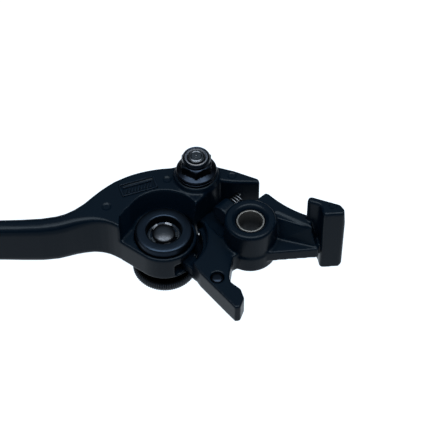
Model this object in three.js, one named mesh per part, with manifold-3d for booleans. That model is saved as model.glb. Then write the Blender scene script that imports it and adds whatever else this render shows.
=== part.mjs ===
// A hydraulic clutch lever for a motorcycle, with a reach adjuster and a blade that can be pushed away.
// Millimetres. The origin is on the pivot axis, halfway up the pivot boss. X runs along the lever towards
// the pad head, Y points away from the handlebar and Z is up, along every hinge axis.
import * as THREE from "three";
import { mergeVertices } from "three/addons/utils/BufferGeometryUtils.js";
import { ConvexGeometry } from "three/addons/geometries/ConvexGeometry.js";
import Module from "manifold-3d";

// Clearances: between faces that turn on each other, and between faces that are clamped together.
const turningGap = 0.3;
const clampedGap = 0.15;

// Pivot, at the origin.
const pivotBore = 8.3;
const sleeveWall = 0.55;
const pivotBossRadius = 8.8;
const pivotBossHeight = 17.8;
const bossFootRadius = 9.2;
const bossFootTop = -1.6;
const boreMouthWidth = 1.2;

// Lever casting.
const leverTop = 8.5;
const leverBottom = -10;
const bladeLength = 162;
const bladeEdge = 3.2;
const neckStart = -62;
const neckEnd = -45.4;
const ballRadius = 7.6;
const headEdge = 0.8;

// Hinge between the lever and the actuator.
const hinge = new THREE.Vector2(-18.2, 18.6);
const hingeRadius = 8.1;
const hingePadRadius = 7.6;
const hingePadHeight = 1.9;
const boltRadius = 3;
const bushWall = 0.8;
const tongueRadius = 6;
const tongueTop = -3.2;
const tongueHeight = 4.6;
const washerThickness = 1;

// Lock nut.
const nutAcrossFlats = 10;
const nutFlangeRadius = 6.9;
const nutHeight = 7.3;
const nutCollarRadius = 4.8;
const boltStandOut = 0.5;
const boltHeadHeight = 4;

// Reach adjuster.
const adjuster = new THREE.Vector2(-29.1, -0.3);
const drumRadius = 9.7;
const drumTop = 3.3;
const drumRecessRadius = 5.9;
const drumRecessDepth = 3.4;
const camLargestRadius = 8.5;
const camSmallestRadius = 6.5;
const camTurn = THREE.MathUtils.degToRad(300);
const camDwell = THREE.MathUtils.degToRad(24);
const camTop = -4.6;
const housingWall = 1.1;
const housingRim = 0.4;
const rimEdge = 0.5;
const housingFloor = 1.1;
const pocketDraft = 1.9;
const postRadius = 3.9;
const postTop = 2.3;
const wheelRadius = 11.2;
const wheelTop = -12.8;
const wheelThickness = 4.1;
const wheelTeeth = 48;
const hubRadius = 6.4;

// Actuator casting.
const fingerTop = -0.5;
const fingerEdge = 0.5;
const gussetBottom = -5.2;
const armTop = 7;
const hollowGap = 3.5;
const webTop = -4;
const webReach = 1.5;
const lipThickness = 1.9;
const lipRadius = 10.9;
const noseAngle = THREE.MathUtils.degToRad(-38);
const nosePadHalfWidth = 2;
const windowHalfAngle = THREE.MathUtils.degToRad(32);
const fingerPinRadius = 2.2;
const fingerPin = new THREE.Vector2(-11.1, -17.4);

// Pad head, at the end of the arm.
const padTop = 17;
const padBottom = -11.8;
const padLeft = 18.6;
const padRight = 31.6;
const padEdge = 0.8;

// Return spring, in a socket at 45 degrees beside the pivot boss.
const springWire = 0.8;
const springRadius = 2.4;
const springPitch = 1.35;
const springHeight = 3;
const springDistance = 11.3;
const springSocketRadius = 3.7;
const springSocketLength = 5.5;

// Click stop of the adjuster.
const detentBallRadius = 1.25;
const detentHeight = -2.2;
const detentDepth = 4.2;

const wasm = await Module();
wasm.setup();

// A closed three.js geometry as a solid that can be joined and cut.
function solid(geometry) {
  const bare = geometry.index ? geometry.toNonIndexed() : geometry.clone();
  bare.deleteAttribute("normal");
  bare.deleteAttribute("uv");
  const merged = mergeVertices(bare, 1e-4);
  return new wasm.Manifold(new wasm.Mesh({
    numProp: 3,
    vertProperties: merged.attributes.position.array,
    triVerts: new Uint32Array(merged.index.array),
  }));
}

// A solid as a three.js geometry.
function geometryOf(body) {
  const mesh = body.getMesh();
  const geometry = new THREE.BufferGeometry();
  geometry.setAttribute("position", new THREE.BufferAttribute(new Float32Array(mesh.vertProperties), 3));
  geometry.setIndex(new THREE.BufferAttribute(new Uint32Array(mesh.triVerts), 1));
  return geometry;
}

function joined(...bodies) {
  return bodies.reduce((whole, next) => whole.add(next));
}

function cut(body, ...tools) {
  return tools.reduce((left, tool) => left.subtract(tool), body);
}

// An upright cylinder or cone.
function round(centre, bottomRadius, topRadius, bottom, top, sides = 36) {
  const geometry = new THREE.CylinderGeometry(topRadius, bottomRadius, top - bottom, sides);
  geometry.rotateX(Math.PI / 2);
  geometry.translate(centre.x, centre.y, (bottom + top) / 2);
  return solid(geometry);
}

// A turned piece: its profile lists radius and height, from the axis up and back to the axis or to its start.
function turned(centre, profile, sides = 36) {
  const geometry = new THREE.LatheGeometry(profile.map(([r, z]) => new THREE.Vector2(r, z)), sides);
  geometry.rotateX(Math.PI / 2);
  geometry.translate(centre.x, centre.y, 0);
  return solid(geometry);
}

// A plan outline made into a plate, with its top and bottom edges rounded where an edge is given.
function plate(outline, bottom, top, edge = 0, curveSegments = 16, edgeSteps = 2) {
  const isList = Array.isArray(outline);
  const shape = isList ? new THREE.Shape(outline.map(([x, y]) => new THREE.Vector2(x, y))) : outline;
  const geometry = new THREE.ExtrudeGeometry(shape, {
    depth: top - bottom - 2 * edge,
    curveSegments,
    bevelEnabled: edge > 0,
    bevelThickness: edge,
    bevelSize: edge,
    bevelOffset: -edge,
    bevelSegments: edgeSteps,
  });
  geometry.translate(0, 0, bottom + edge);
  return solid(geometry);
}

// A front outline, given as x and z, made into a block that runs along Y.
function frontBlock(outline, nearY, farY) {
  const shape = new THREE.Shape(outline.map(([x, z]) => new THREE.Vector2(x, z)));
  const geometry = new THREE.ExtrudeGeometry(shape, { depth: farY - nearY, bevelEnabled: false });
  geometry.rotateX(Math.PI / 2);
  geometry.translate(0, farY, 0);
  return solid(geometry);
}

// The smallest body with flat sides round the points.
function wrapped(points) {
  return solid(new ConvexGeometry(points.map(([x, y, z]) => new THREE.Vector3(x, y, z))));
}

// A level cylinder from a start point along a plan direction.
function levelRound(start, angle, length, radius, sides = 24) {
  const geometry = new THREE.CylinderGeometry(radius, radius, length, sides);
  geometry.rotateZ(-Math.PI / 2);
  geometry.translate(length / 2, 0, 0);
  geometry.rotateZ(angle);
  geometry.translate(start.x, start.y, start.z);
  return solid(geometry);
}

// A point at a distance and an angle from a centre.
function polar(centre, radius, angle) {
  return new THREE.Vector2(centre.x + radius * Math.cos(angle), centre.y + radius * Math.sin(angle));
}

function degrees(angle) {
  return THREE.MathUtils.degToRad(angle);
}

// A coil spring along X from the origin, with closed, flat ends left plain.
class CoilPath extends THREE.Curve {
  constructor(radius, length, turns) {
    super();
    Object.assign(this, { radius, length, turns });
  }
  getPoint(t, target = new THREE.Vector3()) {
    const angle = 2 * Math.PI * this.turns * t;
    return target.set(this.length * t, this.radius * Math.cos(angle), this.radius * Math.sin(angle));
  }
}

function coil(radius, wire, length, turns, stepsPerTurn, sides) {
  const section = new THREE.Shape();
  section.absarc(0, 0, wire / 2, 0, 2 * Math.PI);
  return new THREE.ExtrudeGeometry(section, {
    steps: Math.round(turns * stepsPerTurn),
    curveSegments: sides,
    extrudePath: new CoilPath(radius, length, turns),
  });
}

// The blade as rounded upright sections along X. Each row is x, near side y, far side y, bottom z, top z.
function blade() {
  const tip = -bladeLength;
  const rows = [
    [tip + 1, -6.6, -2.4, -6.6, 5.6],
    [tip + 8, -7, -1.4, -7, 5.8],
    [tip + 22, -6.6, -0.4, -7.6, 6.2],
    [tip + 42, -5.8, 0.5, leverBottom + 1.6, leverTop - 1.6],
    [tip + 62, -5.1, 1, leverBottom + 1, leverTop - 1],
    [-84, -4.8, 1.3, leverBottom + 0.6, leverTop - 0.5],
    [-77, -4.8, 1.4, leverBottom + 0.4, leverTop - 0.3],
    [-70, -4.7, 1.8, leverBottom + 0.2, leverTop - 0.1],
    [-65, -4, 2.7, leverBottom, leverTop],
    [neckStart, -3.2, 3.9, leverBottom, leverTop],
    [-59, -2.1, 5.6, leverBottom, leverTop],
    [-56, -1.2, 7.9, leverBottom, leverTop],
    [-53, -0.6, 11, leverBottom, leverTop],
    [-50.5, -0.6, 13.4, leverBottom, leverTop],
    [-48, -1.1, 15.4, leverBottom, leverTop],
    [neckEnd, -2.2, 17.2, leverBottom, leverTop],
  ];
  const cornerSteps = 3;
  const corners = [[1, 1, 0], [-1, 1, 90], [-1, -1, 180], [1, -1, 270]];
  const rings = rows.map(([x, near, far, bottom, top]) => {
    const towardsHead = THREE.MathUtils.clamp((x - neckStart) / (neckEnd - neckStart), 0, 1);
    const edge = Math.min(THREE.MathUtils.lerp(bladeEdge, headEdge, towardsHead), (far - near) * 0.42);
    const ring = [];
    for (const [sideY, sideZ, start] of corners) {
      const cornerY = sideY > 0 ? far - edge : near + edge;
      const cornerZ = sideZ > 0 ? top - edge : bottom + edge;
      for (let step = 0; step <= cornerSteps; step += 1) {
        const angle = degrees(start + (90 * step) / cornerSteps);
        ring.push(new THREE.Vector3(x, cornerY + edge * Math.cos(angle), cornerZ + edge * Math.sin(angle)));
      }
    }
    return ring;
  });
  return lofted(rings);
}

// A closed skin through rings that all have the same number of points, with a flat cap at each end.
function lofted(rings) {
  const count = rings[0].length;
  const positions = rings.flat().flatMap((point) => [point.x, point.y, point.z]);
  const faces = [];
  for (let row = 0; row + 1 < rings.length; row += 1) {
    for (let k = 0; k < count; k += 1) {
      const a = row * count + k;
      const b = row * count + ((k + 1) % count);
      faces.push(a, b, b + count, a, b + count, a + count);
    }
  }
  const last = (rings.length - 1) * count;
  for (let k = 1; k + 1 < count; k += 1) {
    faces.push(0, k + 1, k, last, last + k, last + k + 1);
  }
  const geometry = new THREE.BufferGeometry();
  geometry.setAttribute("position", new THREE.Float32BufferAttribute(positions, 3));
  geometry.setIndex(faces);
  return solid(geometry);
}

const boltHole = boltRadius + turningGap;
const drumBore = drumRadius + turningGap;
const housingRadius = drumBore + housingWall;
const headCorner = new THREE.Vector2(-43.8, -3.3);
const tongueBottom = tongueTop - tongueHeight;
const tongueAngle = Math.atan2(-hinge.y, -hinge.x);
const floorTop = leverBottom + housingFloor;
const springAxis = degrees(45);
const springLine = polar(new THREE.Vector2(0, 0), springDistance, springAxis + Math.PI / 2);
const springStart = polar(springLine, -1.6, springAxis);
const lobeSeat = polar(springLine, 7.6, springAxis);
const springLength = springStart.distanceTo(lobeSeat);

// The upper outline of the head: neck, band behind the pocket, hinge eye and spring lobe.
function headOutline() {
  const pocketRadius = housingRadius + 0.2;
  const shape = new THREE.Shape();
  shape.moveTo(-47, -1.4);
  shape.lineTo(headCorner.x, headCorner.y);
  shape.lineTo(headCorner.x + 0.7, headCorner.y + 1.2);
  const pocketEnd = degrees(31);
  shape.absarc(adjuster.x, adjuster.y, pocketRadius, degrees(168), pocketEnd, true);
  shape.absarc(hinge.x, hinge.y, hingeRadius, degrees(-62), degrees(-12), false);
  shape.lineTo(-6.2, 16.2);
  shape.lineTo(3.4, 16);
  shape.lineTo(3, 17.9);
  shape.lineTo(-5.2, 21.5);
  shape.absarc(hinge.x, hinge.y, hingeRadius, degrees(38), degrees(125), false);
  shape.splineThru([[-26, 23.2], [-31, 22.5], [-36, 21.4], [-41, 19.6], [-45.4, 17.2], [-47, 16.1]]
    .map(([x, y]) => new THREE.Vector2(x, y)));
  return shape;
}

// The part of the head below the pocket: the round drum housing and the solid corner beside it.
function housingOutline() {
  const toCorner = headCorner.clone().sub(adjuster);
  const tangent = toCorner.angle() + Math.acos(housingRadius / toCorner.length());
  const back = adjuster.y + housingRadius + 4;
  const shape = new THREE.Shape();
  shape.moveTo(headCorner.x, back);
  shape.lineTo(headCorner.x, headCorner.y);
  shape.absarc(adjuster.x, adjuster.y, housingRadius, tangent, degrees(380), false);
  shape.lineTo(adjuster.x, back);
  return shape;
}

// The slot that the actuator's tongue swings in, open towards the pivot.
function slotOutline() {
  const reach = 26;
  const opening = degrees(10);
  const side = Math.PI / 2 - opening;
  const radius = tongueRadius + 2 * turningGap;
  const low = polar(hinge, radius, tongueAngle - side);
  const high = polar(hinge, radius, tongueAngle + side);
  const shape = new THREE.Shape();
  shape.moveTo(low.x, low.y);
  shape.lineTo(low.x + reach * Math.cos(tongueAngle - opening), low.y + reach * Math.sin(tongueAngle - opening));
  shape.lineTo(high.x + reach * Math.cos(tongueAngle + opening), high.y + reach * Math.sin(tongueAngle + opening));
  shape.lineTo(high.x, high.y);
  shape.absarc(hinge.x, hinge.y, radius, tongueAngle + side, tongueAngle - side + 2 * Math.PI, false);
  return shape;
}

// A ring sector in plan.
function sector(centre, inner, outer, start, end) {
  const shape = new THREE.Shape();
  shape.absarc(centre.x, centre.y, outer, start, end, false);
  shape.absarc(centre.x, centre.y, inner, end, start, true);
  return shape;
}

function leverArm() {
  const ball = new THREE.SphereGeometry(ballRadius, 28, 18);
  ball.rotateX(Math.PI / 2);
  ball.translate(-bladeLength, -4.6, (leverTop + leverBottom) / 2);
  const pad = turned(hinge, [
    [0, leverTop - 1],
    [hingePadRadius + 0.5, leverTop - 1],
    [hingePadRadius + 0.5, leverTop],
    [hingePadRadius, leverTop + 0.5],
    [hingePadRadius, leverTop + hingePadHeight - 0.3],
    [hingePadRadius - 0.3, leverTop + hingePadHeight],
    [0, leverTop + hingePadHeight],
  ]);
  const body = joined(
    blade(),
    solid(ball),
    plate(headOutline(), leverBottom, leverTop, headEdge, 12),
    plate(housingOutline(), leverBottom, housingRim, rimEdge, 32),
    pad,
  );
  const pocketFoot = housingRadius + 0.1;
  const pocket = round(adjuster, pocketFoot, pocketFoot + pocketDraft, housingRim, leverTop + 0.1);
  const pocketCorner = wrapped([
    [headCorner.x + 0.7, headCorner.y - 3, housingRim],
    [headCorner.x + 0.1, headCorner.y - 3, leverTop + 0.1],
    [headCorner.x + 0.7, headCorner.y + 1, housingRim],
    [headCorner.x, 1.6, leverTop + 0.1],
    [headCorner.x + 2, 4.6, leverTop + 0.1],
    [-40.6, 1.4, housingRim],
    [-36, 7, housingRim],
    [-36, 10.4, leverTop + 0.1],
    [-36, headCorner.y - 3, housingRim],
    [-36, headCorner.y - 3, leverTop + 0.1],
  ]);
  // The window for the nose is taller on its right, where the push finger hides it.
  const [windowInner, windowOuter] = [drumBore - 1, housingRadius + 1.5];
  const [windowStart, windowEnd] = [noseAngle - windowHalfAngle, noseAngle + windowHalfAngle];
  const noseWindow = joined(
    plate(sector(adjuster, windowInner, windowOuter, windowStart, windowEnd), floorTop, camTop + 1.2),
    plate(sector(adjuster, windowInner, windowOuter, windowStart + degrees(14), windowEnd), camTop, housingRim - 1.6),
  );
  const detentStart = new THREE.Vector3(adjuster.x - drumBore + 1, adjuster.y, detentHeight);
  const labelRecess = plate([[-44.2, 14.6], [-42.8, 9.9], [-31.6, 14.3], [-32.6, 18.2]], leverTop - 0.4, leverTop + 1);
  return cut(
    body,
    pocket,
    pocketCorner,
    round(adjuster, drumBore, drumBore, floorTop, leverTop + 5),
    round(adjuster, postRadius + turningGap, postRadius + turningGap, leverBottom - 1, floorTop + 1, 32),
    noseWindow,
    plate(slotOutline(), tongueBottom - turningGap, tongueTop + turningGap, 0, 12),
    round(hinge, boltHole, boltHole, leverBottom - 1, leverTop + hingePadHeight + 1, 32),
    levelRound(new THREE.Vector3(springLine.x, springLine.y, springHeight), springAxis,
      springLine.distanceTo(lobeSeat) + turningGap, springRadius + springWire / 2 + turningGap),
    levelRound(detentStart, Math.PI, detentDepth + 1, detentBallRadius + turningGap / 2, 16),
    labelRecess,
  );
}

// The plan of the push finger, with a hollow side that follows the drum housing.
function fingerOutline() {
  const hollow = housingRadius + hollowGap;
  const shape = new THREE.Shape();
  shape.moveTo(-7.6, 4.2);
  shape.lineTo(-10.5, 5.6);
  shape.lineTo(-15, 6.6);
  shape.absarc(adjuster.x, adjuster.y, hollow, degrees(25), degrees(-48), true);
  shape.lineTo(-16.9, -15.4);
  shape.lineTo(-7.8, -26.6);
  shape.lineTo(-5.2, -29.8);
  shape.lineTo(-3.5, -29.4);
  shape.lineTo(-2.2, -25.6);
  shape.lineTo(-3.3, -22);
  shape.lineTo(-6.5, -19.2);
  shape.lineTo(-7.1, -17);
  shape.lineTo(-6, -9);
  shape.lineTo(-4, -7.8);
  shape.lineTo(0, 0);
  return shape;
}

// The tongue: a bar from the pivot boss that ends round the hinge.
function tongueOutline() {
  const shape = new THREE.Shape();
  const low = polar(hinge, tongueRadius, tongueAngle - Math.PI / 2);
  const high = polar(hinge, tongueRadius, tongueAngle + Math.PI / 2);
  const run = hinge.length();
  shape.moveTo(low.x, low.y);
  shape.lineTo(low.x + run * Math.cos(tongueAngle), low.y + run * Math.sin(tongueAngle));
  shape.lineTo(high.x + run * Math.cos(tongueAngle), high.y + run * Math.sin(tongueAngle));
  shape.lineTo(high.x, high.y);
  shape.absarc(hinge.x, hinge.y, tongueRadius, tongueAngle + Math.PI / 2, tongueAngle + 1.5 * Math.PI, false);
  return shape;
}

// The pad head in plan, a plate stepped by an S curve, met by its front outline with a bulged far edge.
function padHead() {
  const plan = new THREE.Shape();
  plan.moveTo(padLeft, 1.3);
  plan.lineTo(padLeft + 1, 0.4);
  plan.lineTo(padLeft + 3.4, -0.4);
  plan.bezierCurveTo(padLeft + 5.6, -1.2, padLeft + 4, -4.6, padLeft + 6, -5);
  plan.lineTo(padRight - 1.4, -4.6);
  plan.quadraticCurveTo(padRight + 0.1, -4, padRight - 0.6, -2.6);
  plan.lineTo(padRight - 2.1, -0.4);
  plan.lineTo(padLeft + 1.6, 3);
  plan.lineTo(padLeft + 0.6, 2.8);
  const front = [
    [padLeft - 1, padTop + 1],
    [padLeft - 1, gussetBottom],
    [padLeft + 3.2, gussetBottom - 1],
    [padLeft + 3.8, padBottom + 0.8],
    [padLeft + 4.6, padBottom],
    [padRight - 1.6, padBottom],
    [padRight - 0.4, padBottom + 1.2],
    [padRight, 0],
    [padRight, 6],
    [padRight - 0.5, 12],
    [padRight - 1, padTop + 1],
  ];
  return plate(plan, padBottom - 1, padTop, padEdge, 8).intersect(frontBlock(front, -10, 10));
}

// The arm from the pivot boss to the pad head, drafted on its near side, with a thin web along its foot.
function arm() {
  const lug = [[0, 6], [2.6, 10.4], [5.3, 12.9], [6.4, 12.4]];
  const rear = new THREE.Shape();
  rear.moveTo(9.2, 4.2);
  rear.lineTo(0, 4.2);
  lug.forEach(([x, y]) => rear.lineTo(x, y));
  rear.quadraticCurveTo(12, 6.2, padLeft + 1, 3);
  rear.lineTo(padLeft + 2, -2.4);
  const top = armTop - 0.6;
  const nearSide = wrapped([
    [4, 4.2, top], [4, 5.4, top], [9.2, 4.2, top], [10, 5.4, top],
    [padLeft + 1.4, -2.3, top], [padLeft + 1.4, 1, top],
    [4, -1, gussetBottom], [4, 5, gussetBottom], [10, -1, gussetBottom], [10, 5, gussetBottom],
    [padLeft + 4.4, -5.4, gussetBottom], [padLeft + 4.4, -1, gussetBottom],
    [padLeft + 3.4, -4.6, 0], [padLeft + 3.4, 0, 0],
  ]);
  const gusset = plate([[0, -7.9], [padLeft + 4.4, -5.7], [padLeft + 4.4, -1], [0, 4]], gussetBottom, fingerTop);
  return joined(plate(rear, gussetBottom, armTop, 0.5, 10), nearSide, gusset);
}

function actuatorCasting() {
  const halfHeight = pivotBossHeight / 2;
  const origin = new THREE.Vector2(0, 0);
  const boss = turned(origin, [
    [0, -halfHeight],
    [pivotBossRadius - 0.5, -halfHeight],
    [pivotBossRadius, -halfHeight + 0.5],
    [pivotBossRadius, halfHeight - 0.8],
    [pivotBossRadius - 0.8, halfHeight],
    [0, halfHeight],
  ]);
  const bossFoot = turned(origin, [
    [0, -halfHeight],
    [bossFootRadius - 0.5, -halfHeight],
    [bossFootRadius, -halfHeight + 0.5],
    [bossFootRadius, bossFootTop - 0.4],
    [bossFootRadius - 0.4, bossFootTop],
    [0, bossFootTop],
  ]);
  // Beyond this line the finger's top steps down to the tongue.
  const tongueStep = plate([[-8.2, -2], [-14.6, 5.4], [-15.2, 9], [0, 9], [0, -2]], tongueTop, fingerTop + 1);
  const socket = new THREE.Vector3(springStart.x, springStart.y, springHeight);
  const socketEnd = polar(springStart, -1.5, springAxis);
  const contact = polar(adjuster, camLargestRadius + turningGap, noseAngle);
  const across = new THREE.Vector2(-Math.sin(noseAngle), Math.cos(noseAngle));
  const root = polar(adjuster, housingRadius + hollowGap + 1.5, noseAngle);
  const nosePad = [[contact, 1], [contact, -1], [root, -1.3], [root, 1.3]].map(([point, side]) => {
    const shift = side * nosePadHalfWidth;
    return [point.x + shift * across.x, point.y + shift * across.y];
  });
  // A web along the finger's hollow side ends in a lip under the lever's housing, and closes the gap between.
  const hollow = housingRadius + hollowGap;
  const lipTop = leverBottom - turningGap;
  const [webStart, webEnd, lipEnd] = [degrees(-44), degrees(28), degrees(46)];
  const body = joined(
    boss,
    bossFoot,
    cut(plate(fingerOutline(), -halfHeight, fingerTop, fingerEdge, 16), tongueStep),
    plate(tongueOutline(), tongueBottom, tongueTop, 0, 12),
    levelRound(new THREE.Vector3(socketEnd.x, socketEnd.y, springHeight), springAxis,
      springSocketLength, springSocketRadius),
    arm(),
    padHead(),
    plate(nosePad, floorTop + turningGap, camTop - turningGap),
    plate(sector(adjuster, hollow - webReach, hollow + 0.8, webStart, webEnd), lipTop - lipThickness, webTop),
    plate(sector(adjuster, lipRadius, hollow, webStart, lipEnd), lipTop - lipThickness, lipTop),
  );
  const sleeveHole = pivotBore / 2 + sleeveWall + turningGap;
  const mouthRadius = sleeveHole + boreMouthWidth + 0.1;
  const bushHole = boltHole + bushWall + clampedGap;
  return cut(
    body,
    round(origin, sleeveHole, sleeveHole, -halfHeight - 1, halfHeight + 1),
    round(origin, sleeveHole, mouthRadius, halfHeight - boreMouthWidth, halfHeight + 0.1),
    round(origin, mouthRadius, sleeveHole, -halfHeight - 0.1, -halfHeight + boreMouthWidth),
    round(hinge, bushHole, bushHole, tongueBottom - 1, tongueTop + 1, 32),
    levelRound(socket, springAxis, 12, springRadius + springWire / 2 + turningGap),
    round(fingerPin, fingerPinRadius + clampedGap, fingerPinRadius + clampedGap, -halfHeight - 1, fingerTop + 1, 24),
  );
}

// The drum: a recessed disc above, a spiral cam below, and dimples for the click stop.
function drum() {
  const cam = new THREE.Shape();
  const steps = 60;
  for (let step = 0; step < steps; step += 1) {
    const turn = (2 * Math.PI * step) / steps;
    const climb = (2 * Math.PI - turn) / (2 * Math.PI - camTurn - camDwell);
    const fall = Math.min(turn / camTurn, 1, climb);
    const point = polar(adjuster, camLargestRadius + (camSmallestRadius - camLargestRadius) * fall, noseAngle - turn);
    if (step === 0) cam.moveTo(point.x, point.y);
    else cam.lineTo(point.x, point.y);
  }
  const recessFloor = drumTop - drumRecessDepth;
  const disc = turned(adjuster, [
    [0, camTop],
    [drumRadius, camTop],
    [drumRadius, drumTop - 0.7],
    [drumRadius - 0.7, drumTop],
    [drumRecessRadius + 0.5, drumTop],
    [drumRecessRadius, drumTop - 0.5],
    [drumRecessRadius - 0.3, recessFloor],
    [0, recessFloor],
  ], 48);
  const dimples = [];
  for (let k = 0; k < 6; k += 1) {
    const place = polar(adjuster, drumRadius + 0.4, Math.PI + degrees(60 * k));
    const dimple = new THREE.SphereGeometry(detentBallRadius, 10, 6);
    dimple.translate(place.x, place.y, detentHeight);
    dimples.push(solid(dimple));
  }
  const postHole = postRadius + clampedGap;
  return cut(
    joined(disc, plate(cam, floorTop + turningGap, camTop + 0.1)),
    round(adjuster, postHole, postHole, leverBottom, drumTop, 32),
    ...dimples,
  );
}

// The knurled wheel, with a hub that reaches up to the housing floor.
function wheel() {
  const knurl = new THREE.Shape();
  for (let k = 0; k < 2 * wheelTeeth; k += 1) {
    const point = polar(adjuster, k % 2 ? wheelRadius : wheelRadius - 0.5, (Math.PI * k) / wheelTeeth);
    if (k === 0) knurl.moveTo(point.x, point.y);
    else knurl.lineTo(point.x, point.y);
  }
  const wheelBottom = wheelTop - wheelThickness;
  const body = joined(
    plate(knurl, wheelBottom, wheelTop, 0.3, 1, 1),
    round(adjuster, hubRadius, hubRadius, wheelTop - 1, leverBottom - turningGap, 32),
  );
  const postHole = postRadius + clampedGap;
  return cut(body, round(adjuster, postHole, postHole, wheelBottom - 1, leverBottom, 32));
}

// A waved spring ring: a flat ring lifted by three waves.
function waveWasher() {
  const flat = new THREE.Shape();
  flat.absarc(adjuster.x, adjuster.y, hubRadius + 2.2, 0, 2 * Math.PI, false);
  const hole = new THREE.Path();
  hole.absarc(adjuster.x, adjuster.y, hubRadius + turningGap, 0, 2 * Math.PI, true);
  flat.holes.push(hole);
  const geometry = new THREE.ExtrudeGeometry(flat, { depth: 0.4, bevelEnabled: false, curveSegments: 30 });
  const place = geometry.attributes.position;
  const middle = (leverBottom + wheelTop) / 2 - 0.2;
  const lift = (leverBottom - wheelTop) / 2 - 0.2 - turningGap;
  for (let k = 0; k < place.count; k += 1) {
    const angle = Math.atan2(place.getY(k) - adjuster.y, place.getX(k) - adjuster.x);
    place.setZ(k, place.getZ(k) + middle + lift * Math.sin(3 * angle));
  }
  return solid(geometry);
}

// A ring with a square section.
function ring(centre, inner, outer, bottom, top, sides = 40) {
  return turned(centre, [[inner, bottom], [outer, bottom], [outer, top], [inner, top], [inner, bottom]], sides);
}

function lockNut(bottom) {
  const cornerRadius = nutAcrossFlats / 2 / Math.cos(Math.PI / 6);
  const hexTop = bottom + nutHeight - 1.9;
  const hex = new THREE.CylinderGeometry(cornerRadius, cornerRadius, hexTop - bottom, 6);
  hex.rotateX(Math.PI / 2);
  hex.translate(hinge.x, hinge.y, (bottom + hexTop) / 2);
  const flange = turned(hinge, [
    [0, bottom],
    [nutFlangeRadius, bottom],
    [nutFlangeRadius, bottom + 1],
    [cornerRadius - 0.9, bottom + 2.3],
    [0, bottom + 2.3],
  ]);
  const collar = turned(hinge, [
    [0, hexTop - 0.5],
    [nutAcrossFlats / 2, hexTop - 0.5],
    [nutAcrossFlats / 2, hexTop],
    [nutCollarRadius, hexTop + 0.5],
    [nutCollarRadius, bottom + nutHeight - 0.5],
    [nutCollarRadius - 0.5, bottom + nutHeight],
    [0, bottom + nutHeight],
  ]);
  const hexEdge = turned(hinge, [
    [0, bottom],
    [nutFlangeRadius, bottom],
    [nutFlangeRadius, hexTop - 1.6],
    [nutAcrossFlats / 2, hexTop + 0.1],
    [nutAcrossFlats / 2, bottom + nutHeight],
    [0, bottom + nutHeight],
  ]);
  const thread = boltRadius + clampedGap;
  const ringSeat = nutCollarRadius - 0.7;
  return cut(
    joined(solid(hex).intersect(hexEdge), flange, collar),
    round(hinge, thread, thread, bottom - 1, bottom + nutHeight + 1, 32),
    round(hinge, ringSeat, ringSeat, bottom + nutHeight - 1.8, bottom + nutHeight + 1, 32),
  );
}

function hingeBolt(headTop, end) {
  const cornerRadius = nutAcrossFlats / 2 / Math.cos(Math.PI / 6);
  const head = new THREE.CylinderGeometry(cornerRadius, cornerRadius, boltHeadHeight, 6);
  head.rotateX(Math.PI / 2);
  head.translate(hinge.x, hinge.y, headTop - boltHeadHeight / 2);
  const shank = turned(hinge, [
    [0, headTop - 1],
    [boltRadius, headTop - 1],
    [boltRadius, end - 0.6],
    [boltRadius - 0.6, end],
    [0, end],
  ], 32);
  return joined(solid(head), shank);
}

// Post with a domed top and a threaded hole for the wheel screw.
function adjusterPost(screwRadius) {
  const bottom = wheelTop - wheelThickness + 0.6;
  const dome = [];
  for (let step = 0; step <= 5; step += 1) {
    const angle = degrees(18 * step);
    dome.push([postRadius * Math.cos(angle), postTop - 1.4 + 1.4 * Math.sin(angle)]);
  }
  dome[dome.length - 1][0] = 0;
  const post = turned(adjuster, [[0, bottom], [postRadius, bottom], ...dome], 32);
  const hole = screwRadius + clampedGap;
  return cut(post, round(adjuster, hole, hole, bottom - 1, bottom + 6, 20));
}

// A spring clip with tabs that bite the post, lying in the drum recess.
function starClip() {
  const bottom = drumTop - drumRecessDepth + clampedGap;
  const band = ring(adjuster, postRadius + turningGap, drumRecessRadius - 0.7, bottom, bottom + 0.5, 32);
  const middle = new THREE.Vector3(adjuster.x, adjuster.y, bottom + 0.25);
  const gaps = [];
  for (let k = 0; k < 5; k += 1) {
    const angle = degrees(72 * k + 20);
    gaps.push(levelRound(middle, angle, drumRecessRadius - 1.3, 0.6, 12));
  }
  return cut(band, ...gaps);
}

const paintedCasting = new THREE.MeshStandardMaterial({ color: 0x1d2329, roughness: 0.45, metalness: 0.1 });
const zincSteel = new THREE.MeshStandardMaterial({ color: 0x8c8f92, roughness: 0.35, metalness: 1 });
const blackenedSteel = new THREE.MeshStandardMaterial({ color: 0x23282d, roughness: 0.4, metalness: 0.8 });
const anodised = new THREE.MeshStandardMaterial({ color: 0x1a1f25, roughness: 0.35, metalness: 0.7 });
const bronze = new THREE.MeshStandardMaterial({ color: 0x8a7a58, roughness: 0.4, metalness: 1 });
const nylon = new THREE.MeshStandardMaterial({ color: 0x2a3038, roughness: 0.6, metalness: 0 });

const lever = new THREE.Group();

function piece(name, body, material) {
  const mesh = new THREE.Mesh(geometryOf(body), material);
  mesh.name = name;
  lever.add(mesh);
}

const halfBoss = pivotBossHeight / 2;
const sleeveEnd = halfBoss - boreMouthWidth - 0.1;
const sleeveRadius = pivotBore / 2 + sleeveWall;
piece("pivot_sleeve", ring(new THREE.Vector2(0, 0), pivotBore / 2, sleeveRadius, -sleeveEnd, sleeveEnd), zincSteel);
piece("actuator", actuatorCasting(), paintedCasting);
piece("hinge_bush", ring(hinge, boltHole, boltHole + bushWall, tongueBottom, tongueTop), bronze);
piece("finger_pin", turned(fingerPin, [
  [0, -halfBoss + 0.4],
  [fingerPinRadius, -halfBoss + 0.4],
  [fingerPinRadius, fingerTop - 0.6],
  [fingerPinRadius - 0.6, fingerTop - 0.1],
  [0, fingerTop + 0.1],
], 24), blackenedSteel);

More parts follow.
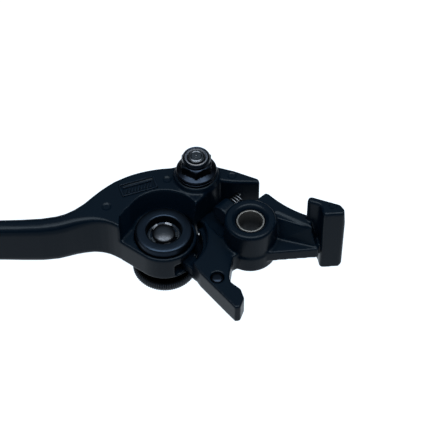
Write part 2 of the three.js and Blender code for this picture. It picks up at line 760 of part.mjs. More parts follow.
const topWasherBottom = leverTop + hingePadHeight + clampedGap;
const nutBottom = topWasherBottom + washerThickness + clampedGap;
const bottomWasherTop = leverBottom - clampedGap;
const boltHeadTop = bottomWasherTop - washerThickness - clampedGap;
const boltEnd = nutBottom + nutHeight + boltStandOut;
piece("hinge_bolt", hingeBolt(boltHeadTop, boltEnd), zincSteel);
piece("hinge_nut", lockNut(nutBottom), blackenedSteel);
piece("nut_lock_ring", ring(hinge, boltRadius + clampedGap, nutCollarRadius - 0.7 - clampedGap,
  nutBottom + nutHeight - 1.6, nutBottom + nutHeight - 0.2, 32), nylon);
piece("hinge_washer_top", ring(hinge, boltHole, nutFlangeRadius + 0.1, topWasherBottom,
  topWasherBottom + washerThickness), blackenedSteel);
piece("hinge_washer_bottom", ring(hinge, boltHole, nutFlangeRadius - 0.6, bottomWasherTop - washerThickness,
  bottomWasherTop), zincSteel);

piece("lever_arm", leverArm(), paintedCasting);
piece("adjuster_drum", drum(), anodised);
const screwRadius = 1.5;
piece("adjuster_post", adjusterPost(screwRadius), zincSteel);
piece("star_clip", starClip(), zincSteel);
piece("adjuster_wheel", wheel(), anodised);
piece("wave_washer", waveWasher(), zincSteel);

const wheelBottom = wheelTop - wheelThickness;
piece("wheel_screw", joined(
  turned(adjuster, [
    [0, wheelBottom - clampedGap - 1.6],
    [postRadius + 0.4, wheelBottom - clampedGap - 1.6],
    [postRadius + 1.2, wheelBottom - clampedGap - 0.8],
    [postRadius + 1.2, wheelBottom - clampedGap],
    [0, wheelBottom - clampedGap],
  ], 32),
  round(adjuster, screwRadius, screwRadius, wheelBottom - clampedGap - 0.5, wheelBottom + 5, 20),
), zincSteel);

const ballX = adjuster.x - drumBore - detentBallRadius - 0.1;
const ball = new THREE.SphereGeometry(detentBallRadius, 12, 8);
ball.translate(ballX, adjuster.y, detentHeight);
piece("detent_ball", solid(ball), zincSteel);

const detentSpringLength = detentDepth - 2 * detentBallRadius - 0.6;
const detentSpring = coil(0.85, 0.4, detentSpringLength, 3, 12, 3);
detentSpring.rotateZ(Math.PI);
detentSpring.translate(ballX - detentBallRadius - 0.3, adjuster.y, detentHeight);
piece("detent_spring", solid(detentSpring), zincSteel);

const coilLength = springLength - springWire;
const returnSpring = coil(springRadius, springWire, coilLength, coilLength / springPitch, 14, 3);
returnSpring.rotateZ(springAxis);
returnSpring.translate(springStart.x + springWire / 2, springStart.y + springWire / 2, springHeight);
piece("return_spring", solid(returnSpring), zincSteel);

export default lever;
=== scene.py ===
import math

import bmesh
import bpy
from mathutils import Matrix, Vector


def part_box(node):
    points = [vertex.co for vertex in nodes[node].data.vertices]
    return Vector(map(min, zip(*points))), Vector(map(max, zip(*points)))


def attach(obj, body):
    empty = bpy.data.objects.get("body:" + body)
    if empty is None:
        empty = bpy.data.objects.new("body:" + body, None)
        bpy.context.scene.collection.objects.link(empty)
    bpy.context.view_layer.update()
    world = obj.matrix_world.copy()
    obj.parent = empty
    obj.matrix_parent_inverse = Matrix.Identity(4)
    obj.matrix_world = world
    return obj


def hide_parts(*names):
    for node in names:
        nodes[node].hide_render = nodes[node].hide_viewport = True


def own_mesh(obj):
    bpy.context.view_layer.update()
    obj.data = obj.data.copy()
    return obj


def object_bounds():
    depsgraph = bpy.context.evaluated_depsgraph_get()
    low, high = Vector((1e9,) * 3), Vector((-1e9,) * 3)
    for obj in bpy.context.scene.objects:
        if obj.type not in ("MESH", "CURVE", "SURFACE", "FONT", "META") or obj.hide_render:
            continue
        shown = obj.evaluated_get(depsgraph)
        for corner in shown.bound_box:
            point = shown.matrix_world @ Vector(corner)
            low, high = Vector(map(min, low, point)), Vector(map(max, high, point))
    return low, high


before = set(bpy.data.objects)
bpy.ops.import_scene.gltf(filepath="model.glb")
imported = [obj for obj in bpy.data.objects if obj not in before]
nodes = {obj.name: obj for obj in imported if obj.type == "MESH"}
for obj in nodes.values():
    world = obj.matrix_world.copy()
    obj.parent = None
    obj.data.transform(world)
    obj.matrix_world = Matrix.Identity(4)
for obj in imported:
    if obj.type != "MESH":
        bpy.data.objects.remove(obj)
cad_low, cad_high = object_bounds()
mm = 0.001

# The table is a sheet of acrylic lit from below. Its glow is a cool tone just past full white, so it looks
# white right up to the lever, with no hard shadow, and gives the near faces a cool sheen. It lies just under
# the lowest screw head.
table_width = 6.0
table_gap = 0.2 * mm
table_glow = 1.22
table_tint = (0.82, 0.91, 1.0, 1)
table_colour = "#2c2d2e"


def linear(hex_colour):
    """An sRGB hex colour as a linear colour with full opacity."""
    parts = [int(hex_colour[k:k + 2], 16) / 255 for k in (1, 3, 5)]
    return [p / 12.92 if p <= 0.04045 else ((p + 0.055) / 1.055) ** 2.4 for p in parts] + [1]


def add_node(tree, kind, settings=None, inputs=None):
    """Adds a shader node. An input given as a socket is linked, and any other is set."""
    node = tree.nodes.new("ShaderNode" + kind)
    for name, value in (settings or {}).items():
        setattr(node, name, value)
    for name, value in (inputs or {}).items():
        if isinstance(value, bpy.types.NodeSocket):
            tree.links.new(value, node.inputs[name])
        else:
            node.inputs[name].default_value = value
    return node


def new_material(name):
    """An empty material and its node tree."""
    material = bpy.data.materials.new(name)
    material.use_nodes = True
    material.node_tree.nodes.clear()
    return material, material.node_tree


def put_in_scene(name, bm, material):
    """Makes a bmesh drawn in metres an object at the origin."""
    mesh = bpy.data.meshes.new(name)
    bm.to_mesh(mesh)
    bm.free()
    mesh.materials.append(material)
    made = bpy.data.objects.new(name, mesh)
    bpy.context.collection.objects.link(made)
    return made


lit_acrylic, tree = new_material("lit_white_acrylic")
shader = add_node(tree, "BsdfPrincipled", inputs={
    "Base Color": linear(table_colour),
    "Roughness": 0.6,
    "Specular IOR Level": 0.2,
    "Emission Color": table_tint,
    "Emission Strength": table_glow,
})
add_node(tree, "OutputMaterial", inputs={"Surface": shader.outputs["BSDF"]})

bm = bmesh.new()
bmesh.ops.create_grid(bm, x_segments=1, y_segments=1, size=table_width / 2)
bmesh.ops.translate(bm, vec=(0, 0, cad_low.z - table_gap), verts=bm.verts)
table = put_in_scene("table", bm, lit_acrylic)

# Soft studio light: a wide box overhead, a little towards the front, gives the long highlights on the upper
# edges. Dim cool sheets at the back, the front and both sides give the other faces their sheen, and the room
# itself is dark grey.
room_grey = 0.03
cool_white = (0.8, 0.9, 1.0)
cooler_white = (0.72, 0.88, 1.0)
room = bpy.data.worlds.new("studio_room")
room.use_nodes = True
room.node_tree.nodes["Background"].inputs["Color"].default_value = (room_grey, room_grey, room_grey, 1)
bpy.context.scene.world = room


def soft_box(name, place, width, depth, radiance, colour=(1, 1, 1)):
    """A rectangular soft light that faces the origin."""
    light = bpy.data.lights.new(name, "AREA")
    light.shape = "RECTANGLE"
    light.size = width
    light.size_y = depth
    light.energy = radiance * math.pi * width * depth
    light.color = colour
    lamp = bpy.data.objects.new(name, light)
    lamp.location = place
    lamp.rotation_euler = (-Vector(place)).to_track_quat("-Z", "Y").to_euler()
    bpy.context.collection.objects.link(lamp)


soft_box("overhead_box", (0, -0.16, 0.9), 1.3, 0.5, 14.0)
soft_box("back_sheet", (0, 0.9, 1.1), 1.6, 0.9, 1.0, cooler_white)
soft_box("front_sheet", (0, -1.0, 1.25), 1.6, 0.7, 1.0, cool_white)
for side in (-1, 1):
    soft_box("side_sheet", (side * 1.3, 0.2, 0.9), 0.7, 0.8, 1.0, cool_white)

# The camera looks down at the pivot end from in front, so the blade runs out of the picture on the left.
camera_elevation = math.radians(51.3)
camera_distance = 0.5443
camera_lens = 130.9
aim_point = Vector((-10.2, 6.4, 0)) * mm
camera = bpy.data.objects.new("camera", bpy.data.cameras.new("camera"))
camera.data.lens = camera_lens
towards_camera = Vector((0, -math.cos(camera_elevation), math.sin(camera_elevation)))
camera.location = aim_point + camera_distance * towards_camera
camera.rotation_euler = (math.pi / 2 - camera_elevation, 0, 0)
bpy.context.collection.objects.link(camera)
bpy.context.scene.camera = camera
bpy.context.scene.view_settings.view_transform = "Standard"

# The pivot sleeve is a turned steel tube that the pivot boss turns on. Its bore is left bare: a dull grey,
# slightly brown in patches, with fine rings from the boring tool, and painted shade makes it darker further
# down.
pivot_bore = 8.3
sleeve_edge = 0.12
turning_mark = 0.35
patch_size = 2.5
shaded_depth = 6


def in_mm(node):
    """The lowest and highest corners of a CAD node in millimetres."""
    return [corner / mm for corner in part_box(node)]


def axis_of(node):
    """The point in plan, in millimetres, that an upright round CAD node is centred on."""
    low, high = in_mm(node)
    return Vector(((low.x + high.x) / 2, (low.y + high.y) / 2, 0))


def turned(centre, profile, steps=96, is_ring=False):
    """A round piece about an upright axis, from its profile of radius and height in millimetres."""
    bm = bmesh.new()
    points = [bm.verts.new((centre.x + radius, centre.y, height)) for radius, height in profile]
    following = points[1:] + points[:1] if is_ring else points[1:]
    edges = [bm.edges.new(pair) for pair in zip(points, following)]
    bmesh.ops.spin(
        bm, geom=points + edges, cent=centre, axis=(0, 0, 1), angle=2 * math.pi, steps=steps, use_merge=True,
    )
    bmesh.ops.remove_doubles(bm, verts=bm.verts, dist=1e-4)
    bmesh.ops.recalc_face_normals(bm, faces=bm.faces)
    return bm


def soften(bm, radius):
    """Rounds every sharp edge."""
    least_angle = math.radians(25)
    sharp = [edge for edge in bm.edges if edge.is_manifold and edge.calc_face_angle() > least_angle]
    bmesh.ops.bevel(
        bm, geom=sharp, offset=radius, offset_type="OFFSET", affect="EDGES",
        segments=2, profile=0.5, material=-1, clamp_overlap=True,
    )


def hardware(name, bm, material):
    """Makes a bmesh drawn in millimetres an object, with smooth faces and crisp corners."""
    bmesh.ops.recalc_face_normals(bm, faces=bm.faces)
    bmesh.ops.scale(bm, vec=(mm, mm, mm), verts=bm.verts)
    made = put_in_scene(name, bm, material)
    made.data.shade_smooth()
    made.data.set_sharp_from_angle(angle=math.radians(38))
    return made


def metal(name, colour, tint, roughness, mark, mark_depth, axis=None):
    """A metal whose tone drifts to a tint, with tool rings round an axis or a fine even grain."""
    material, tree = new_material(name)
    place = add_node(tree, "TexCoord").outputs["Object"]
    if axis is not None:
        place = add_node(tree, "Mapping", inputs={
            "Vector": place, "Location": -axis * mm,
        }).outputs["Vector"]
        ring_period = 2 * math.pi / 20
        marks = add_node(tree, "TexWave", {"wave_type": "RINGS", "rings_direction": "Z"}, {
            "Vector": place, "Scale": ring_period / (mark * mm), "Distortion": 1.5, "Detail": 2.0,
        }).outputs["Fac"]
    else:
        marks = add_node(tree, "TexNoise", inputs={
            "Vector": place, "Scale": 1 / (mark * mm), "Detail": 3.0,
        }).outputs["Fac"]
    patches = add_node(tree, "TexNoise", inputs={
        "Vector": place, "Scale": 1 / (patch_size * mm), "Detail": 4.0,
    })
    tone = add_node(tree, "Mix", {"data_type": "RGBA"}, {
        0: patches.outputs["Fac"], 6: linear(colour), 7: linear(tint),
    })
    gloss = add_node(tree, "MapRange", inputs={
        "Value": patches.outputs["Fac"], "To Min": roughness * 0.8, "To Max": roughness * 1.25,
    })
    bump = add_node(tree, "Bump", inputs={"Height": marks, "Distance": mark_depth * mm, "Strength": 1.0})
    shader = add_node(tree, "BsdfPrincipled", inputs={
        "Base Color": tone.outputs[2],
        "Metallic": 1.0,
        "Roughness": gloss.outputs["Result"],
        "Normal": bump.outputs["Normal"],
    })
    add_node(tree, "OutputMaterial", inputs={"Surface": shader.outputs["BSDF"]})
    return material


def paint_dark(material, unshaded_amount, colour):
    """Turns a metal's colour to a painted dark colour, for painted shade, as the given socket of its tree
    falls to nought.
    """
    tree = material.node_tree
    shader = next(node for node in tree.nodes if node.type == "BSDF_PRINCIPLED")
    darkened = add_node(tree, "Mix", {"data_type": "RGBA"}, {
        0: unshaded_amount, 6: linear(colour), 7: shader.inputs["Base Color"].links[0].from_socket,
    })
    tree.links.new(darkened.outputs[2], shader.inputs["Base Color"])


pivot_axis = axis_of("pivot_sleeve")
low, high = in_mm("pivot_sleeve")
sleeve_radius = (high.x - low.x) / 2
bored_steel = metal("bored_bare_steel", "#5d6163", "#4b4a47", 0.55, turning_mark, 0.02, pivot_axis)
# Painted shade: the bore is painted darker the further it is below the top.
tree = bored_steel.node_tree
height = add_node(tree, "SeparateXYZ", inputs={"Vector": add_node(tree, "TexCoord").outputs["Object"]})
bore_unshaded = add_node(tree, "MapRange", {"interpolation_type": "SMOOTHSTEP"}, {
    "Value": height.outputs["Z"], "From Min": (high.z - shaded_depth) * mm, "From Max": (high.z + 0.5) * mm,
})
paint_dark(bored_steel, bore_unshaded.outputs["Result"], "#14171a")
bm = turned(pivot_axis, [
    (pivot_bore / 2, low.z),
    (sleeve_radius, low.z),
    (sleeve_radius, high.z),
    (pivot_bore / 2, high.z),
], 128, is_ring=True)
soften(bm, sleeve_edge)
sleeve = hardware("bored_sleeve", bm, bored_steel)
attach(sleeve, "pivot")
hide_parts("pivot_sleeve")

# The actuator is one aluminium die casting: pivot boss, push finger, hinge tongue, arm and pad head. It is
# powder coated a satin blue black, and the die and the coat leave every corner filled or rounded.
grain_size = 0.35
peel_size = 0.9
peel_height = 0.012
drift_size = 14
ejector_depth = 0.35

powder_coat, tree = new_material("satin_powder_coat")
place = add_node(tree, "TexCoord").outputs["Object"]
# Baked powder flows into a fine orange peel, and keeps some grain of the cast skin under it.
peel = add_node(tree, "TexNoise", inputs={"Vector": place, "Scale": 1 / (peel_size * mm), "Detail": 2.0})
grain = add_node(tree, "TexNoise", inputs={"Vector": place, "Scale": 1 / (grain_size * mm), "Detail": 3.0})
relief = add_node(tree, "Math", {"operation": "MULTIPLY_ADD"}, {
    0: grain.outputs["Fac"], 1: 0.35, 2: peel.outputs["Fac"],
})
bump = add_node(tree, "Bump", inputs={
    "Height": relief.outputs["Value"], "Distance": peel_height * mm, "Strength": 1.0,
})
# Painted highlight: the coat is a shade lighter on outer corners.
corner = add_node(tree, "MapRange", {"clamp": True}, {
    "Value": add_node(tree, "NewGeometry").outputs["Pointiness"],
    "From Min": 0.52, "From Max": 0.6, "To Max": 0.5,
})
# The coat's tone and gloss drift a little from one end of the casting to the other.
drift = add_node(tree, "TexNoise", inputs={"Vector": place, "Scale": 1 / (drift_size * mm), "Detail": 3.0})
coat_tone = add_node(tree, "Mix", {"data_type": "RGBA"}, {
    0: drift.outputs["Fac"], 6: linear("#01040a"), 7: linear("#01060d"),
})
corner_highlight_tone = add_node(tree, "Mix", {"data_type": "RGBA"}, {
    0: corner.outputs["Result"], 6: coat_tone.outputs[2], 7: linear("#0b121b"),
})
gloss = add_node(tree, "MapRange", inputs={"Value": drift.outputs["Fac"], "To Min": 0.3, "To Max": 0.36})
shader = add_node(tree, "BsdfPrincipled", inputs={
    "Base Color": corner_highlight_tone.outputs[2],
    "Roughness": gloss.outputs["Result"],
    "Specular IOR Level": 0.06,
    "Specular Tint": (*cooler_white, 1),
    "Normal": bump.outputs["Normal"],
})
add_node(tree, "OutputMaterial", inputs={"Surface": shader.outputs["BSDF"]})


def cast_skin(name, node, grid, smoothing, material):
    """A casting from a merged copy of its CAD node, with its corners filled and rounded."""
    bm = bmesh.new()
    bm.from_mesh(nodes[node].data)
    bmesh.ops.remove_doubles(bm, verts=bm.verts, dist=0.001 * mm)
    rough = put_in_scene("rough_" + name, bm, material)
    skin = rough.modifiers.new("skin", "REMESH")
    skin.mode = "VOXEL"
    skin.voxel_size = grid * mm
    fillets = rough.modifiers.new("fillets", "SMOOTH")
    fillets.factor = 0.5
    fillets.iterations = smoothing
    shaped = rough.evaluated_get(bpy.context.evaluated_depsgraph_get())
    mesh = bpy.data.meshes.new_from_object(shaped)
    mesh.name = name
    bpy.data.objects.remove(rough)
    made = bpy.data.objects.new(name, mesh)
    bpy.context.collection.objects.link(made)
    mesh.shade_smooth()
    return made


def press_mark(casting, x, y, top, radius, depth):
    """Presses the round mark of an ejector pin into a level face of a casting."""
    for vertex in casting.data.vertices:
        away = math.hypot(vertex.co.x - x * mm, vertex.co.y - y * mm) / (radius * mm)
        if away < 1.3 and abs(vertex.co.z - top * mm) < 0.4 * mm:
            rise = 0.25 * math.exp(-((away - 1.05) / 0.12) ** 2)
            sink = 1 / (1 + math.exp((away - 0.85) * 18))
            vertex.co.z += (rise - sink) * depth * mm


actuator = cast_skin("actuator_casting", "actuator", 0.32, 9, powder_coat)
press_mark(actuator, 27.0, -1.2, 17.0, 1.5, ejector_depth)
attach(actuator, "actuator")
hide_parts("actuator")

# The hinge bush is a short sintered bronze tube in the tongue, hidden between the lever's cheeks. Its pressed
# powder leaves a fine even grain and a soft brown shine.
sintered_bronze = metal("sintered_bronze", "#8c7950", "#75643f", 0.45, 0.25, 0.01)
nodes["hinge_bush"].data.materials.clear()
nodes["hinge_bush"].data.materials.append(sintered_bronze)

# The finger pin is a blackened steel dowel pressed into the push finger, with a domed end that shows. The
# blacking is thin and slightly glossy, so it takes small sharp highlights.
blackened_steel = metal("blackened_steel", "#141a22", "#0b0f15", 0.3, 0.3, 0.008)
pin_axis = axis_of("finger_pin")
low, high = in_mm("finger_pin")
pin_radius = (high.x - low.x) / 2
bm = turned(pin_axis, [
    (0, low.z),
    (pin_radius, low.z),
    (pin_radius, high.z - 0.8),
    (pin_radius * 0.92, high.z - 0.45),
    (pin_radius * 0.7, high.z - 0.15),
    (pin_radius * 0.35, high.z - 0.02),
    (0, high.z),
], 64)
finger_pin = hardware("finger_dowel", bm, blackened_steel)
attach(finger_pin, "actuator")
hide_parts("finger_pin")

# The lever is a second casting with the same coat: ball end, blade, and a head with the hinge eye, the spring
# lobe, the pocket over the adjuster and the round housing below it. Ejector pins left three marks on its top.
lever_top = 8.5
ejector_pins = [(-48.3, 5.4, 1.7), (-28.2, 17.3, 1.5), (-6.1, 19.0, 1.6)]
lever = cast_skin("lever_casting", "lever_arm", 0.4, 6, powder_coat)
for x, y, radius in ejector_pins:
    press_mark(lever, x, y, lever_top, radius, ejector_depth)
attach(lever, "lever")
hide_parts("lever_arm")

# The maker's panel is cast into the recess on the lever: a raised border, a bar along its top, and slanted
# ribs below the bar where a name would stand.
panel_middle = Vector((-38.0, 14.1, lever_top))
panel_turn = math.radians(19.5)
panel_length = 12.6
panel_width = 5.4
border = 0.55
border_top = 0.5
bar_top = 0.24
rib_count = 9
rib_pitch = 1.1


def cast_bar(bm, x, y, length, width, top, turn=0.0):
    """Adds a bar with rounded edges, placed on the panel and sunk into the casting."""
    sunk = 0.7
    made = bmesh.ops.create_cube(bm, size=1)["verts"]
    bmesh.ops.scale(bm, vec=(length, width, top + sunk), verts=made)
    edges = list({edge for vertex in made for edge in vertex.link_edges})
    rounded = bmesh.ops.bevel(
        bm, geom=edges, offset=min(width, top + sunk) * 0.3, offset_type="OFFSET", affect="EDGES",
        segments=2, profile=0.5, material=-1,
    )["verts"]
    place = Matrix.Translation((x, y, (top - sunk) / 2)) @ Matrix.Rotation(turn, 4, "Z")
    bmesh.ops.transform(bm, matrix=place, verts=list({*rounded}))


bm = bmesh.new()
for side in (-1, 1):
    cast_bar(bm, 0, side * (panel_width - border) / 2, panel_length, border, border_top)
    cast_bar(bm, side * (panel_length - border) / 2, 0, panel_width, border, border_top, math.pi / 2)
cast_bar(bm, 0, 1.2, panel_length - 2.6, 0.6, bar_top)
for rib in range(rib_count):
    x = (rib - (rib_count - 1) / 2) * rib_pitch
    cast_bar(bm, x, -0.7, 2.2, 0.5, bar_top, math.radians(65))
place = Matrix.Translation(panel_middle) @ Matrix.Rotation(panel_turn, 4, "Z")
bmesh.ops.transform(bm, matrix=place, verts=bm.verts)
panel = hardware("maker_panel", bm, powder_coat)
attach(panel, "lever")

# The hinge bolt is zinc-plated steel that has dulled in use. Its threaded end stands out of the lock nut,
# turned to a short chamfer with a centre dimple. The hexagon head is below. Pieces that the weather doesn't
# reach keep a bright plate.
hinge_axis = axis_of("hinge_bolt")
low, high = in_mm("hinge_bolt")
bolt_radius = 3.0
head_height = 4.0
across_flats = 10.0
zinc_plate = metal("bright_zinc_plate", "#7b7e82", "#5d6064", 0.27, 0.3, 0.01, hinge_axis)
dulled_zinc = metal("dulled_zinc_plate", "#3c4045", "#2a2e32", 0.26, 0.3, 0.016, hinge_axis)


def hexagon_radius(angle, flats):
    """How far a hexagon's side is from its centre in a direction, with one corner at the front."""
    sixth = math.pi / 3
    from_flat = (angle - math.pi / 2) % sixth - sixth / 2
    return flats / 2 / math.cos(from_flat)


def mill_hexagon(bm, centre, flats, bottom, top, least=lambda height: 0):
    """Mills six flats on the part of a turned blank between two heights, down to a least radius."""
    for vertex in bm.verts:
        if bottom < vertex.co.z < top:
            offset = vertex.co.xy - centre.xy
            limit = max(hexagon_radius(math.atan2(offset.y, offset.x), flats), least(vertex.co.z))
            if offset.length > limit:
                offset = offset.normalized() * limit
                vertex.co.xy = centre.xy + offset


corner_radius = across_flats / 2 / math.cos(math.pi / 6)
head_rows = 12
profile = [(0, low.z), (corner_radius - 0.9, low.z)]
for row in range(head_rows + 1):
    profile.append((corner_radius + 0.02, low.z + 0.02 + (head_height - 0.04) * row / head_rows))
profile += [
    (corner_radius - 0.4, low.z + head_height),
    (bolt_radius, low.z + head_height),
    (bolt_radius, high.z - 0.65),
    (bolt_radius - 0.2, high.z - 0.35),
    (bolt_radius - 0.75, high.z - 0.02),
    (bolt_radius - 1.0, high.z),
    (bolt_radius - 1.25, high.z - 0.12),
    (bolt_radius - 1.4, high.z - 0.3),
    (bolt_radius - 1.9, high.z - 0.3),
    (0.45, high.z - 0.22),
    (0, high.z - 0.6),
]
bm = turned(hinge_axis, profile, 120)
mill_hexagon(bm, hinge_axis, across_flats, low.z - 1, low.z + head_height + 0.1)
bolt = hardware("hinge_screw", bm, dulled_zinc)
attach(bolt, "hinge")
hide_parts("hinge_bolt")

# The lock nut is a blackened steel flange nut, with a tall crimped collar over its nylon ring.
low, high = in_mm("hinge_nut")
flange_radius = (high.x - low.x) / 2
flange_edge = 1.0
cone_height = 1.7
collar_radius = 4.8
collar_height = 1.9
hex_top = high.z - collar_height


def flange_cone(height):
    """The radius of the flange's sloping top at a height."""
    return flange_radius - 0.15 - (height - low.z - flange_edge) * (flange_radius - 3.8) / cone_height


nut_rows = 24
profile = [(bolt_radius + 0.15, low.z), (flange_radius - 0.3, low.z), (flange_radius, low.z + 0.3)]
profile += [(flange_radius, low.z + flange_edge - 0.25)]
for row in range(nut_rows + 1):
    height = low.z + flange_edge + (hex_top - 0.9 - low.z - flange_edge) * row / nut_rows
    profile.append((max(corner_radius, flange_cone(height)), height))
for row in range(1, 9):
    height = hex_top - 0.9 + 0.9 * row / 8
    profile.append((corner_radius - (corner_radius - across_flats / 2 + 0.25) * (row / 8) ** 1.6, height))
profile += [
    (collar_radius, hex_top + 0.3),
    (collar_radius, high.z - 0.7),
    (collar_radius - 0.2, high.z - 0.3),
    (collar_radius - 0.6, high.z),
    (collar_radius - 0.85, high.z - 0.15),
    (collar_radius - 0.95, high.z - 1.6),
    (bolt_radius + 0.15, high.z - 1.8),
]
bm = turned(hinge_axis, profile, 180, is_ring=True)
mill_hexagon(bm, hinge_axis, across_flats, low.z + flange_edge - 0.05, hex_top + 0.2, flange_cone)
nut = hardware("lock_nut", bm, blackened_steel)
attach(nut, "hinge")
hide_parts("hinge_nut")

# The nylon ring is crimped into the nut's collar and grips the thread. It is moulded, with a dull, faintly
# grained surface.
nylon, tree = new_material("moulded_nylon")
place = add_node(tree, "TexCoord").outputs["Object"]
grain = add_node(tree, "TexNoise", inputs={"Vector": place, "Scale": 1 / (0.4 * mm), "Detail": 3.0})
tone = add_node(tree, "Mix", {"data_type": "RGBA"}, {
    0: grain.outputs["Fac"], 6: linear("#1c222a"), 7: linear("#2b333d"),
})
bump = add_node(tree, "Bump", inputs={"Height": grain.outputs["Fac"], "Distance": 0.02 * mm, "Strength": 1.0})
shader = add_node(tree, "BsdfPrincipled", inputs={
    "Base Color": tone.outputs[2],
    "Roughness": 0.5,
    "IOR": 1.53,
    "Normal": bump.outputs["Normal"],
})
add_node(tree, "OutputMaterial", inputs={"Surface": shader.outputs["BSDF"]})
low, high = in_mm("nut_lock_ring")
ring_radius = (high.x - low.x) / 2
bm = turned(hinge_axis, [
    (bolt_radius + 0.15, low.z),
    (ring_radius, low.z),
    (ring_radius, high.z - 0.2),
    (ring_radius - 0.4, high.z),
    (bolt_radius + 0.4, high.z - 0.15),
    (bolt_radius + 0.15, high.z - 0.4),
], is_ring=True)
lock_ring = hardware("nylon_ring", bm, nylon)
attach(lock_ring, "hinge")
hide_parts("nut_lock_ring")

# Two pressed washers: a blackened one under the nut's flange and a zinc-plated one under the bolt's head.
washer_hole = bolt_radius + 0.3
washer_edge = 0.18
for name, node, material, slot in [
    ("upper_washer", "hinge_washer_top", blackened_steel, "black_steel"),
    ("lower_washer", "hinge_washer_bottom", zinc_plate, "zinc_steel"),
]:
    low, high = in_mm(node)
    outer = (high.x - low.x) / 2
    bm = turned(hinge_axis, [
        (washer_hole, low.z),
        (outer, low.z),
        (outer, high.z),
        (washer_hole, high.z),
    ], 128, is_ring=True)
    soften(bm, washer_edge)
    washer = hardware(name, bm, material)
    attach(washer, "hinge")
    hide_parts(node)

# The adjuster drum is turned from aluminium and anodised black: a disc with a recess in its top, and below it
# the spiral cam that the actuator's nose rests on. Anodising gives the turned faces a soft dark sheen.
low, high = in_mm("adjuster_drum")
drum_axis = axis_of("adjuster_post")
drum_radius = 9.7
drum_edge = 0.9
disc_bottom = -4.6
recess_radius = 5.9
recess_depth = 3.4
cam_angle = math.radians(-38)
cam_turn = math.radians(300)
cam_dwell = math.radians(24)
cam_largest = 8.5
cam_smallest = 6.5
cam_steps = 180
disc_arris = 0.15
anodised = metal("black_anodised_aluminium", "#171f28", "#11171f", 0.36, 0.3, 0.006, drum_axis)
bm = turned(drum_axis, [
    (3.0, disc_bottom),
    (drum_radius, disc_bottom),
    (drum_radius, high.z - drum_edge),
    (drum_radius - drum_edge * 0.3, high.z - drum_edge * 0.3),
    (drum_radius - drum_edge, high.z),
    (recess_radius + 0.4, high.z - 0.05),
    (recess_radius, high.z - 0.4),
    (recess_radius - 0.2, high.z - recess_depth),
    (3.0, high.z - recess_depth),
], 128, is_ring=True)
soften(bm, disc_arris)
disc = hardware("adjuster_disc", bm, anodised)
bm = turned(drum_axis, [
    (3.0, low.z),
    (cam_largest - 0.3, low.z),
    (cam_largest, low.z + 0.3),
    (cam_largest, disc_bottom + 0.3),
    (3.0, disc_bottom + 0.3),
], cam_steps, is_ring=True)
for vertex in bm.verts:
    offset = (vertex.co - drum_axis).xy
    if offset.length > cam_smallest:
        turn = (cam_angle - math.atan2(offset.y, offset.x)) % (2 * math.pi)
        climb = (2 * math.pi - turn) / (2 * math.pi - cam_turn - cam_dwell)
        fall = min(turn / cam_turn, 1, climb) * (cam_largest - cam_smallest)
        vertex.co.xy = drum_axis.xy + offset.normalized() * (offset.length - fall)
cam = hardware("spiral_cam", bm, anodised)
for made in (disc, cam):
    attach(made, "adjuster")
    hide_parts("adjuster_drum")

# The adjuster post is turned steel with a domed top, which joins the drum to the wheel below. It is bare and
# has darkened.
low, high = in_mm("adjuster_post")
post_radius = (high.x - low.x) / 2
turned_steel = metal("turned_bare_steel", "#34383d", "#202327", 0.34, 0.3, 0.012, drum_axis)
dome_steps = 8
dome_height = 1.4
profile = [(0, low.z), (post_radius, low.z)]
for step in range(dome_steps + 1):
    angle = math.pi / 2 * step / dome_steps
    profile.append((post_radius * math.cos(angle), high.z - dome_height + dome_height * math.sin(angle)))
profile[-1] = (0, high.z)
post = hardware("domed_post", turned(drum_axis, profile), turned_steel)
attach(post, "adjuster")
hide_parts("adjuster_post")

# The star clip is a pressed spring-steel ring. Its teeth rise, then fold over to bite the post. Two of them
# stand up and glint, and the others were pressed nearly flat when it was fitted. Its plate has dulled.
low, high = in_mm("star_clip")
clip_radius = (high.x - low.x) / 2
clip_inner = 4.7
clip_steps = 60
teeth = 5
first_tooth = math.radians(142)
standing_teeth = (0, 4)
flattened = 0.25
tooth_half_angle = math.radians(16)
# Each fold of a tooth, as its reach inwards and its rise.
tooth_folds = ((0.05, 1.1), (0.2, 0.3), (0.6, -0.27))
bm = bmesh.new()
radii = (clip_inner, clip_radius)
start = [bm.verts.new((drum_axis.x + radius, drum_axis.y, low.z + 0.2)) for radius in radii]
edge = bm.edges.new(start)
bmesh.ops.spin(
    bm, geom=[*start, edge], cent=drum_axis, axis=(0, 0, 1), angle=2 * math.pi,
    steps=clip_steps, use_merge=True,
)
for tooth in range(teeth):
    middle = first_tooth + 2 * math.pi * tooth / teeth
    direction = Vector((math.cos(middle), math.sin(middle), 0))
    root = []
    for edge in bm.edges:
        offsets = [(vertex.co - drum_axis).xy for vertex in edge.verts]
        is_inner = all(abs(offset.length - clip_inner) < 0.05 for offset in offsets)
        is_near = all(
            offset.normalized().dot(direction.xy) > math.cos(tooth_half_angle) for offset in offsets
        )
        if edge.is_boundary and is_inner and is_near:
            root.append(edge)
    stand = 1.0 if tooth in standing_teeth else flattened
    for inward, rise in tooth_folds:
        grown = bmesh.ops.extrude_edge_only(bm, edges=root)["geom"]
        tips = [v for v in grown if isinstance(v, bmesh.types.BMVert)]
        bmesh.ops.translate(bm, vec=-inward * direction + Vector((0, 0, rise * stand)), verts=tips)
        root = [e for e in grown if isinstance(e, bmesh.types.BMEdge) and all(v in tips for v in e.verts)]
bmesh.ops.recalc_face_normals(bm, faces=bm.faces)
bmesh.ops.solidify(bm, geom=bm.faces, thickness=0.3)
clip = hardware("star_lock_clip", bm, dulled_zinc)
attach(clip, "adjuster")
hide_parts("star_clip")

